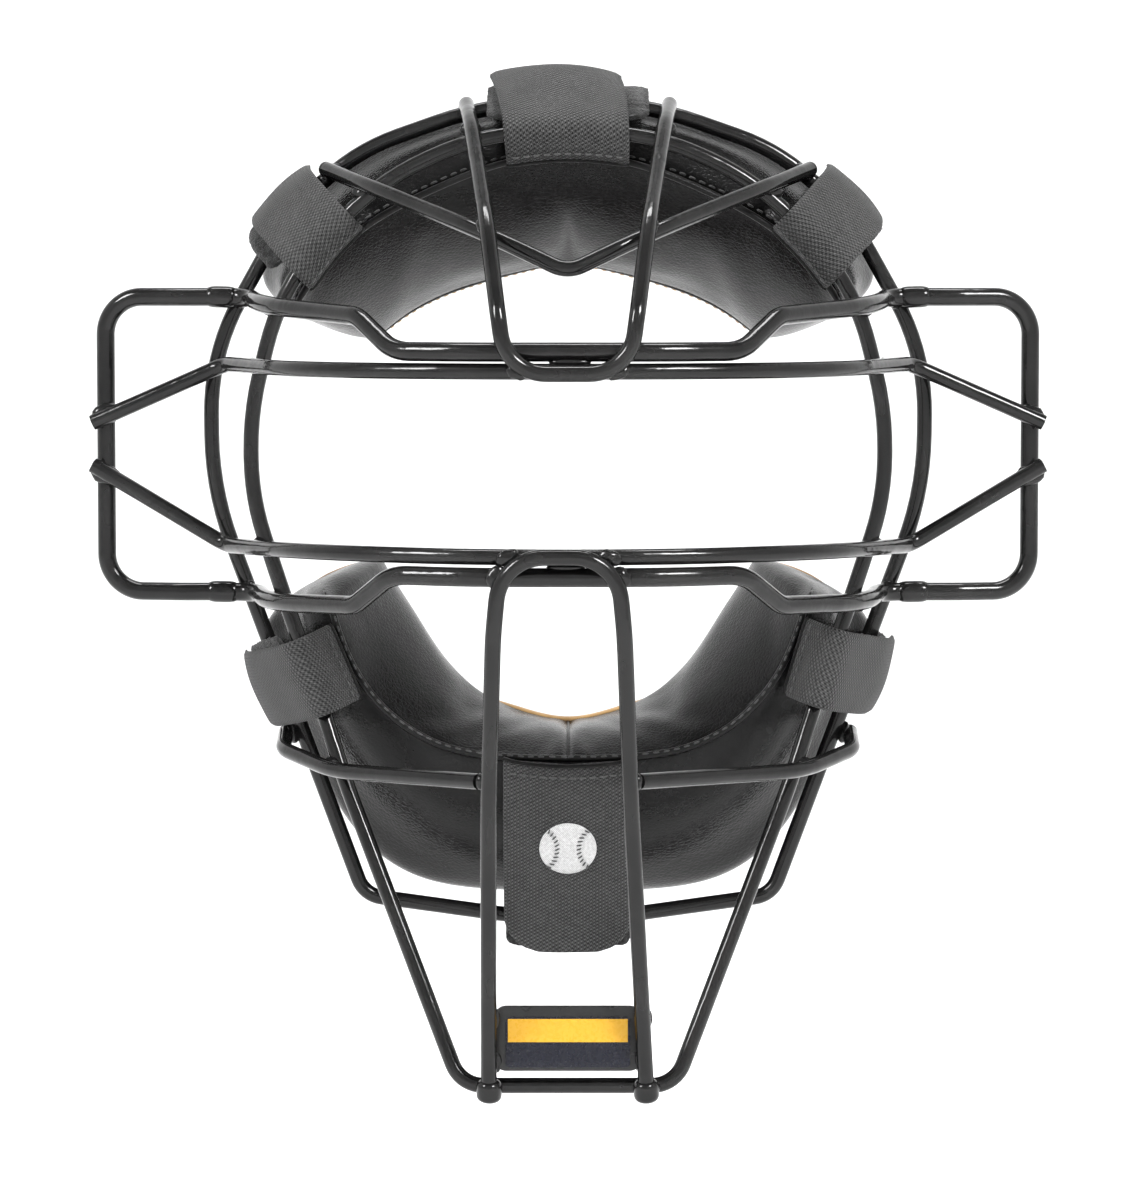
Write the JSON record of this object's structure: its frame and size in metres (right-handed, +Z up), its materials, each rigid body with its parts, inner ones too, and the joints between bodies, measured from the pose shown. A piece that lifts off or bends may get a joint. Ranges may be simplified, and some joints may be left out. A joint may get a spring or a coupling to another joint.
{
  "type": "catchers mask",
  "caption": "Catcher's mask: a welded black wire cage with two padded leather liners held inside it by fold-over fabric tabs.",
  "frame": {"origin": "centre of the face opening, in the plane of the rear hoop, midway between the ears", "axes": "+X to the picture's right (the wearer's left), +Y backwards towards the wearer's face, +Z up"},
  "size_m": [0.2674, 0.1309, 0.2768],
  "materials": {
    "coated_wire": "gloss black powder coat over round steel wire",
    "coated_plate": "satin black powder coat",
    "label": "plain gold and black film, no lettering",
    "pad_leather": "glossy black grained leather",
    "pad_lining": "tan suede lining",
    "pad_foam": "closed-cell foam, hidden",
    "pad_binding": "black folded binding",
    "webbing": "dark grey woven webbing",
    "loop_pile": "fuzzy loop pile",
    "emblem": "white embroidery"
  },
  "bodies": {
    "cage": {"rear_hoop": "coated_wire", "front_hoop": "coated_wire", "top_u_bar": "coated_wire", "brow_v_bar": "coated_wire", "upper_visor_bar": "coated_wire", "lower_visor_bar": "coated_wire", "upper_sight_bar": "coated_wire", "lower_sight_bar": "coated_wire", "lower_u_bar": "coated_wire", "right_ear_guard": "coated_wire", "left_ear_guard": "coated_wire", "right_cheek_bar": "coated_wire", "left_cheek_bar": "coated_wire", "nameplate": "coated_plate", "nameplate_label": "label", "brow_pad_cover": "pad_leather", "brow_pad_foam": "pad_foam", "brow_pad_lining": "pad_lining", "brow_pad_binding": "pad_binding", "chin_pad_cover": "pad_leather", "chin_pad_foam": "pad_foam", "chin_pad_lining": "pad_lining", "chin_pad_binding": "pad_binding", "top_rear_tab": "loop_pile", "upper_right_rear_tab": "loop_pile", "upper_left_rear_tab": "loop_pile", "lower_right_rear_tab": "loop_pile", "lower_left_rear_tab": "loop_pile", "chin_rear_tab": "loop_pile"},
    "top_flap": {"top_front_tab": "webbing"},
    "upper_right_flap": {"upper_right_front_tab": "webbing"},
    "upper_left_flap": {"upper_left_front_tab": "webbing"},
    "lower_right_flap": {"lower_right_front_tab": "webbing"},
    "lower_left_flap": {"lower_left_front_tab": "webbing"},
    "chin_flap": {"chin_front_tab": "webbing", "chin_tab_emblem": "emblem"}
  },
  "joints": [
    {"name": "top_flap_hinge", "type": "hinge", "parent": "cage", "child": "top_flap", "pos_m": [0, -0.0222, 0.0824], "axis": [1, 0, 0], "range_deg": [0, 120]},
    {"name": "upper_right_flap_hinge", "type": "hinge", "parent": "cage", "child": "upper_right_flap", "pos_m": [0.06413, -0.0222, 0.05551], "axis": [0.7071, 0, -0.7071], "range_deg": [0, 110]},
    {"name": "upper_left_flap_hinge", "type": "hinge", "parent": "cage", "child": "upper_left_flap", "pos_m": [-0.06413, -0.0222, 0.05551], "axis": [0.7071, 0, 0.7071], "range_deg": [0, 110]},
    {"name": "lower_right_flap_hinge", "type": "hinge", "parent": "cage", "child": "lower_right_flap", "pos_m": [0.0635, -0.0222, -0.05497], "axis": [-0.2924, 0, -0.9563], "range_deg": [0, 110]},
    {"name": "lower_left_flap_hinge", "type": "hinge", "parent": "cage", "child": "lower_left_flap", "pos_m": [-0.06201, -0.0222, -0.05633], "axis": [-0.3746, 0, 0.9272], "range_deg": [0, 110]},
    {"name": "chin_flap_hinge", "type": "hinge", "parent": "cage", "child": "chin_flap", "pos_m": [0, -0.0214, -0.0854], "axis": [-1, 0, 0], "range_deg": [0, 45]}
  ]
}
